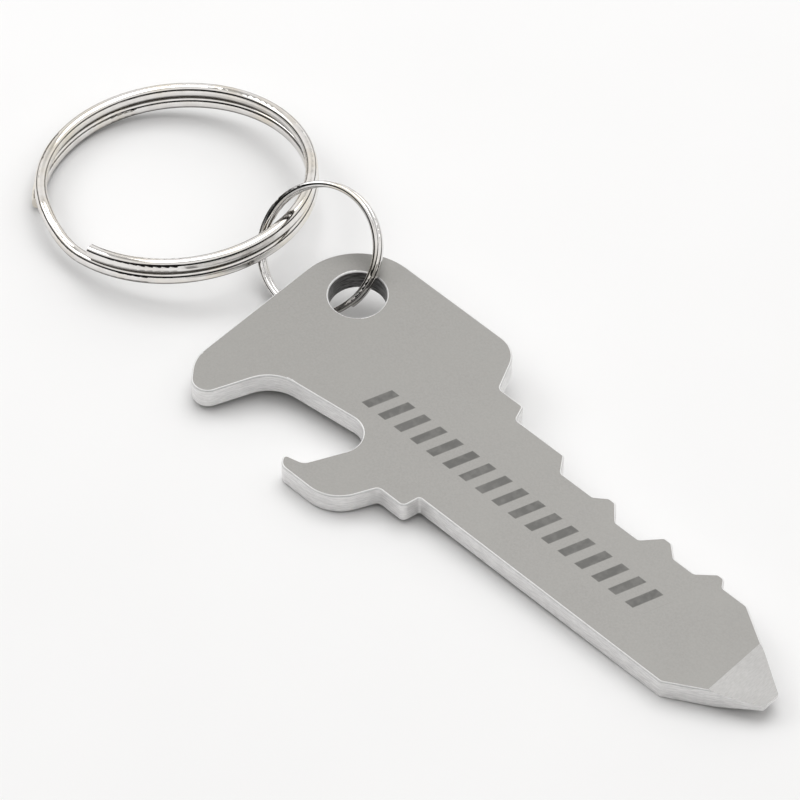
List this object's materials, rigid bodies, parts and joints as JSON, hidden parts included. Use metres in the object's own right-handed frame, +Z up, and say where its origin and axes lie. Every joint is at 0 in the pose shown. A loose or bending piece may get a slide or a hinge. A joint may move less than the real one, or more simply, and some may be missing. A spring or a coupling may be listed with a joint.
{
  "type": "keychain bottle opener",
  "caption": "Flat steel bottle opener shaped like a key, with a toothed blade, a driver tip and split rings for keys.",
  "frame": {"origin": "middle of the footprint on the surface that the opener lies on", "axes": "+X runs along the blade to the driver tip, +Y is the toothed side of the blade, +Z is up, away from the surface it lies on"},
  "size_m": [0.0884, 0.03, 0.0099],
  "materials": {
    "plate_steel": "tumbled satin",
    "small_ring_nickel": "polished nickel plate",
    "large_ring_nickel": "polished nickel plate"
  },
  "bodies": {
    "opener": {"opener_plate": "plate_steel"},
    "small_ring": {"small_split_ring": "small_ring_nickel"},
    "large_ring": {"large_split_ring": "large_ring_nickel"}
  },
  "joints": [
    {"name": "small_ring_swing", "type": "hinge", "parent": "opener", "child": "small_ring", "pos_m": [-0.01049, 0.00397, 0.00355], "axis": [0.9998, 0, -0.0202], "range_deg": [0, 80]},
    {"name": "large_ring_swing", "type": "hinge", "parent": "small_ring", "child": "large_ring", "pos_m": [-0.01953, 0.00346, 0.00354], "axis": [-0.0912, 0.9955, 0.0272], "range_deg": [0, 100]}
  ]
}
